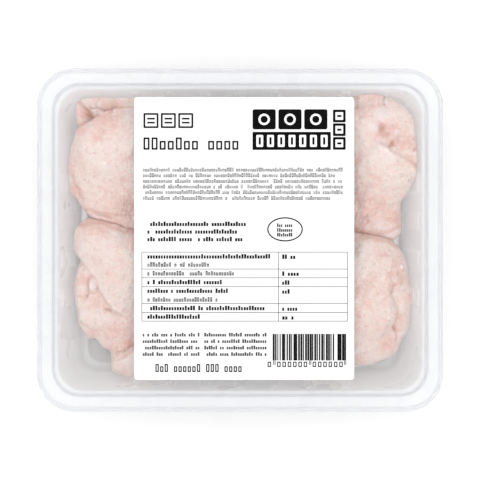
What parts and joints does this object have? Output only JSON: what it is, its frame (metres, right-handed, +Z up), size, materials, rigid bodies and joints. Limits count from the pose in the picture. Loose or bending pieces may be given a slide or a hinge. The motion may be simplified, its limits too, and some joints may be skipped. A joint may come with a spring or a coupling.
{
  "type": "sealed tray of raw chicken wings",
  "caption": "Raw folded chicken wings in a ribbed plastic tray sealed with clear film, with a plain printed label on the film.",
  "frame": {"origin": "middle of the pack's footprint, at the height of the surface that it stands on", "axes": "+X along the tray's longer side, towards the right of the label's print; +Y towards the top of the print; +Z up through the film"},
  "size_m": [0.214, 0.181, 0.0404],
  "materials": {
    "tray_plastic": "milky translucent polypropylene, soft gloss",
    "lidding_film": "clear glossy lidding film",
    "label_paper": "white satin label paper with black and grey print",
    "chicken_skin": "pale pink moist raw skin with fine pores"
  },
  "bodies": {
    "root": {"tray": "tray_plastic", "film": "lidding_film", "label": "label_paper", "wing_left_back": "chicken_skin", "wing_left_front": "chicken_skin", "wing_right_back": "chicken_skin", "wing_right_front": "chicken_skin"}
  },
  "joints": []
}
